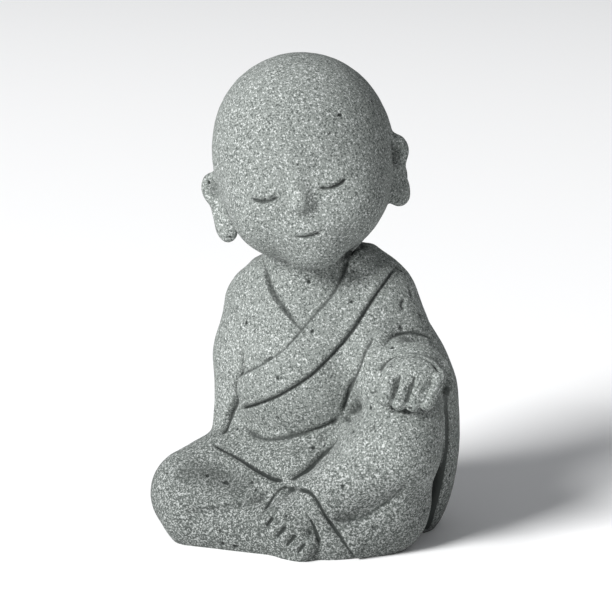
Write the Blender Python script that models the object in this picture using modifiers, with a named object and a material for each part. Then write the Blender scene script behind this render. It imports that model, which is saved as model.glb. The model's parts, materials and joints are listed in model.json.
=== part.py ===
# Seated child monk, a small garden figurine cast in one piece of grey stone.
#
# The monk sits on the ground with the right leg folded flat and the left knee
# drawn up. The left hand rests on that knee, the right arm hangs in its sleeve,
# and the round head leans a little to the monk's right. The figure faces -Y,
# so the monk's left is +X.
#
# The form is built up like clay: round masses for the body, limbs and head are
# fused and pressed onto one smooth surface, the robe's lines are drawn on it
# and carved in, and the underside is cut off flat.

import math

import bmesh
import bpy
import numpy as np
from mathutils import Euler, Matrix, Vector
from mathutils.bvhtree import BVHTree

# Driving dimensions, in metres

HEIGHT = 0.150             # ground to crown
COARSE_GRAIN = 0.0016      # cell of the first fused clay
FINE_GRAIN = 0.0008        # cell of the clay that is carved
FACE_COUNT = 9400          # triangles left in the finished solid
CUT_SNAP = 0.0001          # corners this near the ground are laid on it
STONE_COLOUR = (0.20, 0.215, 0.21, 1)

CROWN = 0.9906             # where the crown comes, as a share of SPAN
SPAN = HEIGHT / CROWN

# Everything below is the figure's own proportion: shares of SPAN, and degrees.

HEAD_CENTRE = (-0.013, -0.03, 0.781)
HEAD_TURN = (-8.0, -13.0, 8.0)         # tip back, lean to the monk's right, turn
EAR_FLARE = 35.0                       # how far each ear's plate is turned back
FACE_DROP = 0.053                      # a quarter of the way from the brows to the chin
EYE_SPREAD = 0.070                     # from the middle of the face to the middle of an eye
EYE_WIDTH = 0.066
LID_QUARTER = 1.2                      # quarters down from the brows: where the closed lids meet,
NOSE_QUARTER = 2.0                     # the base of the nose,
MOUTH_QUARTER = 2.9                    # the parting of the lips
CHIN_QUARTER = 3.7                     # and the middle of the chin
SHOULDER_RIGHT = (-0.115, 0.0, 0.464)
SHOULDER_LEFT = (0.148, 0.0, 0.483)
ELBOW_LEFT = (0.222, 0.0, 0.298)
WRIST_LEFT = (0.247, -0.130, 0.364)
KNEE_LEFT = (0.214, -0.172, 0.216)
ANKLE_LEFT = (0.074, -0.205, 0.112)
KNEE_RIGHT = (-0.218, -0.128, 0.085)
HIP_HEIGHT = 0.140

# The carved lines are drawn on an upright board through the figure's axis, as
# seen from a little to the monk's left and a little above.
BOARD_CENTRE = (0.0, -0.06, 0.477)
SIGHT_AZIMUTH = 14.0
SIGHT_ELEVATION = 12.0
SIGHT_DISTANCE = 5.2


def vec(*values):
    return np.array(values, float)


def turn_matrix(degrees):
    return np.array(Euler([math.radians(d) for d in degrees]).to_matrix())


# Clay masses

class Ball:
    """An egg-shaped mass with three radii, blended into what is there or scooped out of it."""

    def __init__(self, centre, radii, turn=(0, 0, 0), blend=0.03, frame=None, hollow=False):
        self.hollow = hollow
        self.centre = vec(*centre)
        self.radii = vec(*radii)
        self.axes = turn_matrix(turn)
        self.blend = blend
        if frame is not None:
            origin, axes = frame
            self.centre = origin + axes @ self.centre
            self.axes = axes @ self.axes

    def distance(self, points):
        local = (points - self.centre) @ self.axes
        reach = np.linalg.norm(local / self.radii, axis=1)
        slope = np.linalg.norm(local / self.radii ** 2, axis=1)
        return reach * (reach - 1) / np.maximum(slope, 1e-9)

    def add_to(self, clay):
        size = Matrix.Diagonal((*(self.radii * SPAN), 1))
        turn = Matrix(self.axes.tolist()).to_4x4()
        place = Matrix.Translation(self.centre * SPAN) @ turn @ size
        bmesh.ops.create_icosphere(clay, subdivisions=3, radius=1, matrix=place)


class Limb:
    """A tapered round mass between two points, added or scooped out in the same way."""

    def __init__(self, start, end, start_radius, end_radius, blend=0.03, frame=None, hollow=False):
        self.hollow = hollow
        self.start = vec(*start)
        self.end = vec(*end)
        self.radii = (start_radius, end_radius)
        self.blend = blend
        if frame is not None:
            origin, axes = frame
            self.start = origin + axes @ self.start
            self.end = origin + axes @ self.end

    def distance(self, points):
        along = self.end - self.start
        share = np.clip((points - self.start) @ along / (along @ along), 0, 1)
        radius = self.radii[0] + share * (self.radii[1] - self.radii[0])
        return np.linalg.norm(points - self.start - share[:, None] * along, axis=1) - radius

    def add_to(self, clay):
        for share in np.linspace(0, 1, 9):
            centre = self.start + share * (self.end - self.start)
            radius = self.radii[0] + share * (self.radii[1] - self.radii[0])
            place = Matrix.Translation(centre * SPAN)
            bmesh.ops.create_icosphere(clay, subdivisions=2, radius=radius * SPAN, matrix=place)


HEAD_FRAME = (vec(*HEAD_CENTRE), turn_matrix(HEAD_TURN))


class Group:
    """Masses fused with each other first, then blended as one into what is already there."""

    hollow = False

    def __init__(self, masses, blend):
        self.masses = masses
        self.blend = blend

    def distance(self, points):
        return clay_depth(self.masses, points)

    def add_to(self, clay):
        for mass in self.masses:
            if not mass.hollow:
                mass.add_to(clay)


def skull():
    """The skull, jaw and cheeks, in the head's own frame: x to its left, y back, z up."""
    masses = [
        Ball((0.001, 0.012, 0.030), (0.181, 0.186, 0.182), blend=0.012, frame=HEAD_FRAME),
        Ball((0, -0.004, -0.047), (0.168, 0.165, 0.167), blend=0.06, frame=HEAD_FRAME),
        Ball((0, -0.078, -0.124), (0.105, 0.072, 0.064), blend=0.05, frame=HEAD_FRAME),
    ]
    for side in (-1, 1):
        masses.append(Ball((side * 0.075, -0.092, -0.100), (0.066, 0.062, 0.062), blend=0.06, frame=HEAD_FRAME))
    return masses


def ears():
    """Long flat ears turned back from the head, the monk's right one standing out further."""
    masses = []
    for side in (-1, 1):
        turn = (0, 0, side * EAR_FLARE)
        root = 0.177 if side > 0 else 0.189
        masses += [
            Ball((side * (root + 0.007), 0.006, -0.026), (0.033, 0.015, 0.034), turn, 0.012, HEAD_FRAME),
            Ball((side * root, 0.004, -0.072), (0.026, 0.013, 0.045), turn, 0.012, HEAD_FRAME),
            Ball((side * (root - 0.003), 0.004, -0.110), (0.027, 0.016, 0.030), turn, 0.012, HEAD_FRAME),
            Ball((side * (root + 0.008), -0.012, -0.032), (0.015, 0.012, 0.025), turn, 0.008, HEAD_FRAME, True),
        ]
    return masses


def face_levels(*quarters):
    """Heights in the head's frame, from quarters of the way down from the brows to the chin."""
    return [-FACE_DROP * quarter for quarter in quarters]


def face():
    """A calm child's face with closed eyes, laid out by the usual rule for a small child's head.

    The brows lie half way up. Below them the eyes, the base of the nose and the
    mouth follow at quarters of the way to the chin, one eye's width apart.
    """
    nose_level, mouth_level, chin_level = face_levels(NOSE_QUARTER, MOUTH_QUARTER, CHIN_QUARTER)
    masses = [
        Limb((0, -0.160, -0.25 * FACE_DROP), (0, -0.179, nose_level + 0.014), 0.010, 0.018, 0.02, HEAD_FRAME),
        Ball((0, -0.128, mouth_level + 0.008), (0.050, 0.036, 0.036), blend=0.04, frame=HEAD_FRAME),
        Ball((0, -0.155, mouth_level + 0.009), (0.027, 0.015, 0.0085), blend=0.006, frame=HEAD_FRAME),
        Ball((0, -0.151, mouth_level - 0.010), (0.022, 0.015, 0.0095), blend=0.006, frame=HEAD_FRAME),
        Ball((0, -0.106, chin_level), (0.046, 0.034, 0.028), blend=0.045, frame=HEAD_FRAME),
    ]
    for side in (-1, 1):
        masses += [
            Ball((side * 0.017, -0.169, nose_level + 0.009), (0.012, 0.015, 0.010), blend=0.006, frame=HEAD_FRAME),
            Ball((side * EYE_SPREAD, -0.137, -FACE_DROP), (0.040, 0.030, 0.025), blend=0.010, frame=HEAD_FRAME),
        ]
    return masses


def torso():
    return [
        Ball((0.012, 0.000, 0.400), (0.185, 0.118, 0.180), blend=0.05),
        Limb((-0.070, 0.0, 0.487), (0.104, 0.005, 0.505), 0.076, 0.088, blend=0.05),
        Ball((0.005, -0.025, 0.33), (0.150, 0.135, 0.160), blend=0.06),
        Ball((0.015, 0.050, 0.20), (0.215, 0.150, 0.29), blend=0.06),
        Ball((-0.070, 0.040, 0.085), (0.170, 0.150, 0.115), blend=0.05),
        Ball((-0.01, -0.065, 0.115), (0.20, 0.145, 0.105), blend=0.03),
        Limb((0.0, -0.015, 0.52), (-0.008, -0.03, 0.64), 0.098, 0.090, blend=0.02),
    ]


def roll(centre, across, up, thickness, start, end, pieces):
    """A roll of cloth: short limbs round part of an oval, from one angle to another."""
    points = []
    for angle in np.radians(np.linspace(start, end, pieces + 1)):
        points.append(vec(*centre) + math.cos(angle) * vec(*across) + math.sin(angle) * vec(*up))
    return [Limb(a, b, thickness, thickness, blend=0.001) for a, b in zip(points, points[1:])]


def collar_back():
    """The collar where it passes round the back of the neck, higher on the monk's left."""
    return roll((0.004, -0.012, 0.558), (0.112, 0, 0.016), (0, 0.112, 0), 0.022, -20, 200, 11)


def left_cuff():
    """The thick edge of the sleeve over the hand."""
    return roll((0.243, -0.150, 0.350), (0.070, 0.014, 0), (-0.006, 0.031, 0.064), 0.012, -10, 190, 10)


def right_arm():
    return [
        Limb(SHOULDER_RIGHT, (-0.146, 0.005, 0.36), 0.067, 0.054, blend=0.05),
        Limb((-0.146, 0.005, 0.36), (-0.159, -0.005, 0.21), 0.054, 0.052, blend=0.05),
    ]


def left_arm():
    return [
        Limb(SHOULDER_LEFT, ELBOW_LEFT, 0.074, 0.072, blend=0.03),
        Limb(ELBOW_LEFT, WRIST_LEFT, 0.070, 0.060, blend=0.02),
        Limb((0.120, -0.05, 0.42), (0.205, -0.130, 0.320), 0.060, 0.072, blend=0.03),
        Ball((0.220, 0.022, 0.20), (0.085, 0.126, 0.222), blend=0.03),
    ]


def left_hand():
    """The back of the hand and four fingers laid over the knee."""
    masses = [Ball((0.250, -0.180, 0.376), (0.060, 0.048, 0.040), blend=0.012)]
    for finger in range(4):
        knuckle = vec(0.212 + 0.030 * finger, -0.205 + 0.004 * finger, 0.387 - 0.003 * (finger - 1.2) ** 2)
        tip = knuckle + vec(-0.006 - 0.003 * finger, -0.033, -0.062 + 0.011 * abs(finger - 1.5))
        masses.append(Limb(knuckle, tip, 0.0178, 0.0158, blend=0.004))
    return masses


def right_leg():
    return [
        Limb((-0.07, 0.02, HIP_HEIGHT), KNEE_RIGHT, 0.116, 0.095, blend=0.03),
        Limb((-0.198, -0.168, 0.056), (-0.02, -0.192, 0.044), 0.080, 0.070, blend=0.015),
    ]


def left_leg():
    return [
        Limb((0.08, 0.0, HIP_HEIGHT), KNEE_LEFT, 0.115, 0.086, blend=0.03),
        Limb(KNEE_LEFT, ANKLE_LEFT, 0.085, 0.062, blend=0.02),
        Limb((0.224, -0.146, 0.270), (0.182, -0.135, 0.125), 0.083, 0.095, blend=0.02),
        Ball((0.165, -0.132, 0.086), (0.110, 0.094, 0.108), blend=0.02),
        Ball((0.130, -0.145, 0.052), (0.100, 0.103, 0.080), blend=0.02),
        Limb((0.10, -0.185, 0.05), (0.08, -0.20, 0.03), 0.055, 0.060, blend=0.03),
    ]


def left_foot():
    """The instep, the sole's front edge and a row of five toes from the big one down."""
    masses = [
        Limb((0.062, -0.200, 0.088), (0.004, -0.215, 0.060), 0.052, 0.057, blend=0.012),
        Limb((-0.007, -0.221, 0.038), (0.035, -0.231, 0.010), 0.047, 0.044, blend=0.015),
    ]
    big_toe, little_toe = vec(-0.033, -0.256, 0.072), vec(0.045, -0.270, 0.019)
    for toe in range(5):
        tip = big_toe + toe / 4 * (little_toe - big_toe)
        masses.append(Limb(tip + vec(0.014, 0.010, 0.016), tip, 0.0165, 0.0165, blend=0.009))
    return masses


# Fusing and pressing

def smooth_union(first, second, blend):
    near = np.maximum(blend - np.abs(first - second), 0) / blend
    return np.minimum(first, second) - near * near * blend / 4


def clay_depth(masses, points):
    """How far each point lies outside the fused masses (negative inside)."""
    depth = masses[0].distance(points)
    for mass in masses[1:]:
        if mass.hollow:
            depth = -smooth_union(-depth, mass.distance(points), mass.blend)
        else:
            depth = smooth_union(depth, mass.distance(points), mass.blend)
    return depth


def pressed(masses, points, rounds):
    """The points moved onto the surface of the fused masses."""
    step = 2e-4
    for _ in range(rounds):
        depth = clay_depth(masses, points)
        ahead = [clay_depth(masses, points + shift) for shift in np.eye(3) * step]
        slope = (np.stack(ahead, axis=1) - depth[:, None]) / step
        steepness = np.maximum((slope * slope).sum(axis=1), 0.2)
        points = points - (depth / steepness)[:, None] * slope
    return points


def vertex_places(mesh):
    flat = np.empty(len(mesh.vertices) * 3, np.float32)
    mesh.vertices.foreach_get("co", flat)
    return flat.reshape(-1, 3).astype(float)


def set_places(mesh, places):
    mesh.vertices.foreach_set("co", places.astype(np.float32).ravel())
    mesh.update()


def with_modifier(mesh, kind, **settings):
    """The mesh after one modifier with these settings."""
    holder = bpy.data.objects.new("holder", mesh)
    bpy.context.scene.collection.objects.link(holder)
    modifier = holder.modifiers.new("step", kind)
    for name, value in settings.items():
        setattr(modifier, name, value)
    bpy.context.view_layer.update()
    result = bpy.data.meshes.new_from_object(holder.evaluated_get(bpy.context.evaluated_depsgraph_get()))
    bpy.data.objects.remove(holder)
    return result


def fused_clay(masses, fine_grain):
    clay = bmesh.new()
    for mass in masses:
        if not mass.hollow:
            mass.add_to(clay)
    mesh = bpy.data.meshes.new("clay")
    clay.to_mesh(mesh)
    clay.free()
    for grain, rounds in ((COARSE_GRAIN, 3), (fine_grain, 2)):
        mesh = with_modifier(mesh, "REMESH", mode="VOXEL", voxel_size=grain)
        set_places(mesh, pressed(masses, vertex_places(mesh) / SPAN, rounds) * SPAN)
    return mesh


# Drawing on the clay

BOARD_SQUARES = 489        # squares of the ruled board in the figure's height
BOARD_ORIGIN = 306         # the board's centre, in squares from its top left corner

COLLAR_UNDER = [(264, 262), (268, 278), (274, 294), (286, 313), (302, 331)]
BAND_TOP = [(350, 264), (334, 295), (310, 323), (289, 347), (274, 359), (257, 369), (242, 376)]
BAND_BOTTOM = [(397, 264), (372, 299), (350, 333), (320, 366), (303, 380), (274, 397), (240, 409)]
SLEEVE_RIGHT = [(240, 344), (241, 368), (237, 385), (235, 402), (226, 423), (222, 436)]
SLEEVE_LEFT = [(378, 330), (365, 350), (359, 365), (351, 385), (347, 402), (342, 415)]
BELLY = [(342, 415), (329, 425), (304, 434), (277, 438), (258, 436), (240, 424)]
LAP_RIGHT = [(209, 442), (230, 452), (251, 467), (270, 478), (287, 483)]
CALF_RIGHT = [(182, 503), (199, 508), (218, 506), (241, 501), (258, 495), (275, 484)]
LAP_LEFT = [(287, 483), (306, 470), (323, 453), (340, 435)]
SLEEVE_FOLD = [(381, 350), (391, 339), (401, 335), (413, 334), (427, 337), (436, 342)]
SHIN_FOLD = [(329, 518), (342, 521), (361, 518), (378, 509), (397, 495), (409, 480)]
HEM_OUTER = [(296, 488), (304, 490), (311, 493), (318, 501), (325, 514), (333, 525), (340, 535), (352, 551)]
TOE_CREASES = [[(273, 517), (265, 528)], [(286, 526), (275, 539)], [(296, 534), (285, 547)],
               [(305, 543), (296, 554)]]

# Lines on the flat boards at the left side and the back, as shares of SPAN: across the board and up
LEG_BACK = [(-0.095, 0.30), (-0.080, 0.26), (-0.071, 0.20), (-0.068, 0.15), (-0.066, 0.10),
            (-0.063, 0.05), (-0.061, 0.01)]
BACK_FOLDS = [
    [(-0.09, 0.50), (-0.11, 0.40), (-0.13, 0.26), (-0.15, 0.10)],
    [(-0.02, 0.50), (-0.05, 0.38), (-0.08, 0.22), (-0.08, 0.06)],
    [(0.07, 0.48), (0.06, 0.34), (0.03, 0.20), (0.04, 0.05)],
    [(0.13, 0.44), (0.13, 0.30), (0.12, 0.18), (0.14, 0.06)],
]


def smooth_line(points, samples=6):
    """A smooth curve through the points (each stretch bends towards its neighbours)."""
    points = [vec(*p) for p in points]
    padded = [2 * points[0] - points[1]] + points + [2 * points[-1] - points[-2]]
    line = []
    for before, start, end, after in zip(padded, padded[1:], padded[2:], padded[3:]):
        for t in np.arange(samples) / samples:
            line.append(0.5 * (2 * start + (end - before) * t
                               + (2 * before - 5 * start + 4 * end - after) * t ** 2
                               + (3 * start - before - 3 * end + after) * t ** 3))
    line.append(points[-1])
    return np.array(line)


def smooth_step(share):
    share = np.clip(share, 0, 1)
    return share * share * (3 - 2 * share)


class Board:
    """The drawing board: points in squares across and down, seen from the eye."""

    def __init__(self):
        azimuth, elevation = math.radians(SIGHT_AZIMUTH), math.radians(SIGHT_ELEVATION)
        self.right = vec(math.cos(azimuth), math.sin(azimuth), 0)
        back = vec(math.sin(azimuth) * math.cos(elevation),
                   -math.cos(azimuth) * math.cos(elevation), math.sin(elevation))
        self.up = np.cross(back, self.right)
        self.eye = vec(*BOARD_CENTRE) + SIGHT_DISTANCE * back

    def sight(self, across, down):
        spot = (vec(*BOARD_CENTRE) + self.right * (across - BOARD_ORIGIN) / BOARD_SQUARES
                + self.up * (BOARD_ORIGIN - down) / BOARD_SQUARES)
        return self.eye, spot - self.eye


class FlatBoard:
    """A board before one side of the figure or a part of it: its points, in the part's own
    x and z, are carried straight back onto the clay."""

    def __init__(self, frame):
        self.origin, self.axes = frame

    def sight(self, across, height):
        return self.origin + self.axes @ vec(across, -1, height), self.axes @ vec(0, 1, 0)


FRONT = Board()
FACE = FlatBoard(HEAD_FRAME)
LEFT_SIDE = FlatBoard((vec(0, 0, 0), turn_matrix((0, 0, 90))))
BACK = FlatBoard((vec(0, 0, 0), turn_matrix((0, 0, 180))))


class Carving:
    """Drawn lines are carried onto the clay and cut or raised there."""

    def __init__(self, mesh):
        self.mesh = mesh
        self.places = vertex_places(mesh) / SPAN
        normals = np.empty(len(mesh.vertices) * 3, np.float32)
        mesh.vertices.foreach_get("normal", normals)
        self.normals = normals.reshape(-1, 3).astype(float)
        self.moves = np.zeros(len(self.places))
        clay = bmesh.new()
        clay.from_mesh(mesh)
        self.tree = BVHTree.FromBMesh(clay)
        clay.free()

    def on_clay(self, points, drawn_on):
        """The drawn points carried along the board's lines of sight onto the clay."""
        line = []
        for point in smooth_line(points):
            eye, sight = drawn_on.sight(*point)
            hit, _, _, _ = self.tree.ray_cast(Vector(eye * SPAN), Vector(sight))
            if hit is not None:
                line.append(np.array(hit) / SPAN)
        return np.array(line)

    def measure(self, line, reach):
        """For the vertices near a line: their distance, side and share of the way along it."""
        low, high = line.min(axis=0) - reach, line.max(axis=0) + reach
        near = np.flatnonzero(((self.places > low) & (self.places < high)).all(axis=1))
        places, normals = self.places[near], self.normals[near]
        nearest = np.full(len(near), np.inf)
        side = np.zeros(len(near))
        share = np.zeros(len(near))
        for i, (start, end) in enumerate(zip(line, line[1:])):
            along = end - start
            t = np.clip((places - start) @ along / max(along @ along, 1e-12), 0, 1)
            offset = places - start - t[:, None] * along
            distance = np.linalg.norm(offset, axis=1)
            closer = distance < nearest
            across = np.cross(along, normals[closer])
            side[closer] = np.sign((offset[closer] * across).sum(axis=1))
            share[closer] = (i + t[closer]) / (len(line) - 1)
            nearest[closer] = distance[closer]
        return near, nearest, side, share

    def groove(self, points, depth=0.008, width=0.006, fade=0.15, drawn_on=FRONT):
        """A cut line with a round bottom, running out to nothing at both ends."""
        near, distance, _, share = self.measure(self.on_clay(points, drawn_on), width * 4)
        ends = smooth_step(np.minimum(share, 1 - share) / fade) if fade else 1
        self.moves[near] -= depth * np.exp(-(distance / width) ** 2) * ends

    def edge(self, points, side, lift=0.009, reach=0.07, soft=0.005, fade=0.0, drawn_on=FRONT):
        """Cloth that is raised on one side of a line and falls away over its reach."""
        near, distance, hand, share = self.measure(self.on_clay(points, drawn_on), reach)
        signed = distance * hand * side
        ends = smooth_step(np.minimum(share, 1 - share) / fade) if fade else 1
        fall = np.cos(np.clip(distance / reach, 0, 1) * math.pi / 2) ** 2
        self.moves[near] += lift * smooth_step(signed / soft + 0.5) * fall * ends

    def apply(self):
        places = self.places + self.moves[:, None] * self.normals
        set_places(self.mesh, places * SPAN)


def bowed(side, middle, level, half, sag, lift=0.0):
    """Five points of a line that sags in its middle and lifts at its outer end."""
    return [(side * (middle + share * half), level - sag * (1 - share ** 2) + lift * share)
            for share in (-1, -0.5, 0, 0.5, 1)]


def carve_face(carving):
    """The closed lids, the brows and the parting of the lips."""
    lid_level, mouth_level = face_levels(LID_QUARTER, MOUTH_QUARTER)
    half = EYE_WIDTH / 2
    for side in (-1, 1):
        lid = bowed(side, EYE_SPREAD, lid_level, half, 0.010, 0.004)
        carving.groove(lid, depth=0.010, width=0.0045, fade=0.2, drawn_on=FACE)
        brow = bowed(side, EYE_SPREAD, 0.002, half * 1.25, -0.012)
        carving.groove(brow, depth=-0.002, width=0.008, fade=0.4, drawn_on=FACE)
    mouth = bowed(1, 0, mouth_level, 0.033, 0.006)
    carving.groove(mouth, depth=0.007, width=0.004, fade=0.25, drawn_on=FACE)


def carve_robe(carving):
    band = 0.070
    carving.edge(COLLAR_UNDER, side=1, lift=0.010, reach=0.05, fade=0.3)
    carving.edge(BAND_TOP, side=-1, lift=0.012, reach=band)
    carving.edge(BAND_BOTTOM, side=1, lift=0.012, reach=band)
    carving.groove(BAND_BOTTOM, depth=0.006)
    carving.groove(SLEEVE_RIGHT, depth=0.016, width=0.008)
    carving.groove(SLEEVE_LEFT, depth=0.009, width=0.006)
    carving.groove(BELLY, depth=0.010, width=0.008)
    carving.groove(LAP_RIGHT, depth=0.008)
    carving.groove(LAP_LEFT, depth=0.008)
    carving.edge(LAP_RIGHT, side=-1, lift=-0.010, reach=0.08, fade=0.2)
    carving.edge(CALF_RIGHT, side=1, lift=-0.010, reach=0.06, soft=0.016, fade=0.2)
    carving.edge(SLEEVE_FOLD, side=1, lift=0.007, reach=0.05, fade=0.25)
    carving.groove(SLEEVE_FOLD, depth=0.005)
    carving.groove(SHIN_FOLD, depth=0.009, width=0.014)
    carving.edge(HEM_OUTER, side=-1, lift=0.009, reach=0.05)
    carving.groove(HEM_OUTER, depth=0.006)
    for crease in TOE_CREASES:
        carving.groove(crease, depth=0.008, width=0.005, fade=0.1)
    carving.groove(LEG_BACK, depth=0.030, width=0.011, fade=0.1, drawn_on=LEFT_SIDE)
    for fold in BACK_FOLDS:
        carving.groove(fold, depth=0.008, width=0.014, fade=0.4, drawn_on=BACK)


def cut_flat(mesh):
    """Cuts the mesh off at the ground and closes the underside."""
    clay = bmesh.new()
    clay.from_mesh(mesh)
    parts = clay.verts[:] + clay.edges[:] + clay.faces[:]
    bmesh.ops.bisect_plane(clay, geom=parts, dist=CUT_SNAP, plane_co=(0, 0, 0), plane_no=(0, 0, 1),
                           clear_inner=True)
    rim = [edge for edge in clay.edges if edge.is_boundary]
    for edge in rim:
        for vertex in edge.verts:
            vertex.co.z = 0
    underside = bmesh.ops.holes_fill(clay, edges=rim)["faces"]
    bmesh.ops.triangulate(clay, faces=underside)
    clay.to_mesh(mesh)
    clay.free()


def build_monk(fine_grain=FINE_GRAIN, face_count=FACE_COUNT):
    masses = [
        Group(torso() + right_arm() + left_arm(), blend=0),
        Group(collar_back(), blend=0.016),
        Group(right_leg(), blend=0.020),
        Group(left_leg(), blend=0.012),
        Group(left_foot(), blend=0.008),
        Group(left_cuff(), blend=0.012),
        Group(left_hand(), blend=0.006),
        Group(skull() + ears() + face(), blend=0.012),
    ]
    mesh = fused_clay(masses, fine_grain)
    carving = Carving(mesh)
    carve_robe(carving)
    carve_face(carving)
    carving.apply()
    mesh = with_modifier(mesh, "TRIANGULATE")
    mesh = with_modifier(mesh, "DECIMATE", ratio=min(1.0, face_count / len(mesh.polygons)))
    cut_flat(mesh)
    mesh.shade_smooth()
    return mesh


def stone():
    material = bpy.data.materials.new("stone")
    material.use_nodes = True
    shader = material.node_tree.nodes["Principled BSDF"]
    shader.inputs["Base Color"].default_value = STONE_COLOUR
    shader.inputs["Roughness"].default_value = 0.9
    shader.inputs["Metallic"].default_value = 0.0
    return material


def main():
    for old in list(bpy.data.objects):
        bpy.data.objects.remove(old)
    mesh = build_monk()
    mesh.name = "seated_monk"
    mesh.materials.append(stone())
    monk = bpy.data.objects.new("seated_monk", mesh)
    figurine = bpy.data.collections.new("seated monk figurine")
    bpy.context.scene.collection.children.link(figurine)
    figurine.objects.link(monk)


if __name__ == "__main__":
    main()
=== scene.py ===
# %% [markdown]
# # A seated child monk in cast stone
#
# The real object is a small garden ornament: a child monk with a round shaved head, sitting on the
# ground with one leg folded flat, one knee drawn up and a hand resting on that knee. It is one
# casting in rough grey-green stone, so this lesson makes one piece. The form is built like clay:
# round masses are fused, the surface is pressed smooth, lines are drawn on it and carved, and at
# the end it gets the pits and the sandy grain of a stone casting.

import json
import math

import bmesh
import bpy
import numpy as np
from mathutils import Euler, Matrix, Vector, noise
from mathutils.bvhtree import BVHTree
from mathutils.kdtree import KDTree

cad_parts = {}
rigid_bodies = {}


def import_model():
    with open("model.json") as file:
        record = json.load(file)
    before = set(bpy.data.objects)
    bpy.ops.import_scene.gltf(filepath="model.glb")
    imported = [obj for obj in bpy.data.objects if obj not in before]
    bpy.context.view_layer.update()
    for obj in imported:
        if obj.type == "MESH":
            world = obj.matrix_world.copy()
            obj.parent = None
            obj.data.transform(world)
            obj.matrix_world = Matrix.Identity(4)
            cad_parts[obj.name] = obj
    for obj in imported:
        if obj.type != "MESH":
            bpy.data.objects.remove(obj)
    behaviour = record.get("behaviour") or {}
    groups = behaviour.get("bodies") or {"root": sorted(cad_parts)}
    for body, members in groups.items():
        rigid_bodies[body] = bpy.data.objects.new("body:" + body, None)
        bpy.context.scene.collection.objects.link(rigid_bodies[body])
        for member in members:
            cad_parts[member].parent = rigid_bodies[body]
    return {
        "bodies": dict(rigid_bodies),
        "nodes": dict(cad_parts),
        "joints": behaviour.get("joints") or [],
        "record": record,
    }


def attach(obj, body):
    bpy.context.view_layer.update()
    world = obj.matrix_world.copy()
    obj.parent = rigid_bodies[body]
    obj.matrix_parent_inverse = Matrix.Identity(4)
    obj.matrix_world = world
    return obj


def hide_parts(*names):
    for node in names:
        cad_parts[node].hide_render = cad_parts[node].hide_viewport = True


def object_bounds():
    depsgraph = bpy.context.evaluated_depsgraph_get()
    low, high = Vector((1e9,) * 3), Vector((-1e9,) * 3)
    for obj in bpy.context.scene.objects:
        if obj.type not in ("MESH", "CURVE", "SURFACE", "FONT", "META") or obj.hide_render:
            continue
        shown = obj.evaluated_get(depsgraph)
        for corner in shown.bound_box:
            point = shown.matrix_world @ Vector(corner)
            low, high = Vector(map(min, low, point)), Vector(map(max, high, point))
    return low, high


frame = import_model()
cad_box = [list(corner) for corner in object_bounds()]
cad_size = [high - low for low, high in zip(*cad_box)]
print("solid in mm:", [round(1000 * size, 1) for size in cad_size])

# %% [markdown]
# ## Proportions
#
# A sculptor measures a figure in shares of its height, because then one number sets the size of
# everything. SPAN is that measure here: nearly the height, with the crown a little below 1. The
# figure faces -Y, its left is +X, and it sits on the plane z = 0. The height is read from the solid
# that this piece replaces, so the two can't disagree.

# %% Height, head and joints
CROWN = 0.9906
SPAN = cad_size[2] / CROWN

HEAD_CENTRE = (-0.013, -0.03, 0.781)
HEAD_TURN = (-8.0, -13.0, 8.0)         # tip back, lean to the monk's right, turn
EAR_FLARE = 35.0
FACE_DROP = 0.053                      # a quarter of the way from the brows to the chin
EYE_SPREAD = 0.070
EYE_WIDTH = 0.066
SHOULDER_RIGHT = (-0.115, 0.0, 0.464)
SHOULDER_LEFT = (0.148, 0.0, 0.483)
ELBOW_LEFT = (0.222, 0.0, 0.298)
WRIST_LEFT = (0.247, -0.130, 0.364)
KNEE_LEFT = (0.214, -0.172, 0.216)
ANKLE_LEFT = (0.074, -0.205, 0.112)
KNEE_RIGHT = (-0.218, -0.128, 0.085)
HIP_HEIGHT = 0.140
print("span", round(1000 * SPAN, 1), "mm")


# %% [markdown]
# ## The camera first
#
# The picture was taken from a little to the monk's left and a little above, with a long lens: the
# sides of the figure hardly spread. The same view is needed twice here, once for the camera and
# once for the board on which the robe's lines are drawn, so it is worked out once. The board is an
# upright sheet through the middle of the figure, ruled in squares of which 489 make one SPAN.

# %% Line of sight
SIGHT_AZIMUTH = 14.0
SIGHT_ELEVATION = 12.0
SIGHT_DISTANCE = 5.2
BOARD_CENTRE = (0.0, -0.06, 0.477)
BOARD_SQUARES = 489
BOARD_ORIGIN = 306         # the board's centre, in squares from its top left corner
SENSOR = 36.0


def vec(*values):
    return np.array(values, float)


def turn_matrix(degrees):
    return np.array(Euler([math.radians(d) for d in degrees]).to_matrix())


class Board:
    """The ruled board: points in squares across and down, seen from the eye."""

    def __init__(self):
        azimuth, elevation = math.radians(SIGHT_AZIMUTH), math.radians(SIGHT_ELEVATION)
        self.right = vec(math.cos(azimuth), math.sin(azimuth), 0)
        self.back = vec(math.sin(azimuth) * math.cos(elevation),
                        -math.cos(azimuth) * math.cos(elevation), math.sin(elevation))
        self.up = np.cross(self.back, self.right)
        self.eye = vec(*BOARD_CENTRE) + SIGHT_DISTANCE * self.back

    def sight(self, across, down):
        spot = (vec(*BOARD_CENTRE) + self.right * (across - BOARD_ORIGIN) / BOARD_SQUARES
                + self.up * (BOARD_ORIGIN - down) / BOARD_SQUARES)
        return self.eye, spot - self.eye


FRONT = Board()
print("eye at", [round(value, 3) for value in FRONT.eye * SPAN])

# %% Camera
lens = bpy.data.cameras.new("long lens")
lens.sensor_width = SENSOR
lens.lens = SENSOR * SIGHT_DISTANCE * BOARD_SQUARES / (2 * BOARD_ORIGIN)
lens.clip_start = 0.01
camera = bpy.data.objects.new("camera", lens)
camera.location = Vector(FRONT.eye * SPAN)
camera.rotation_euler = Vector(FRONT.back).to_track_quat("Z", "Y").to_euler()
bpy.context.scene.collection.objects.link(camera)
bpy.context.scene.camera = camera
print("lens", round(lens.lens, 1), "mm")


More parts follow.
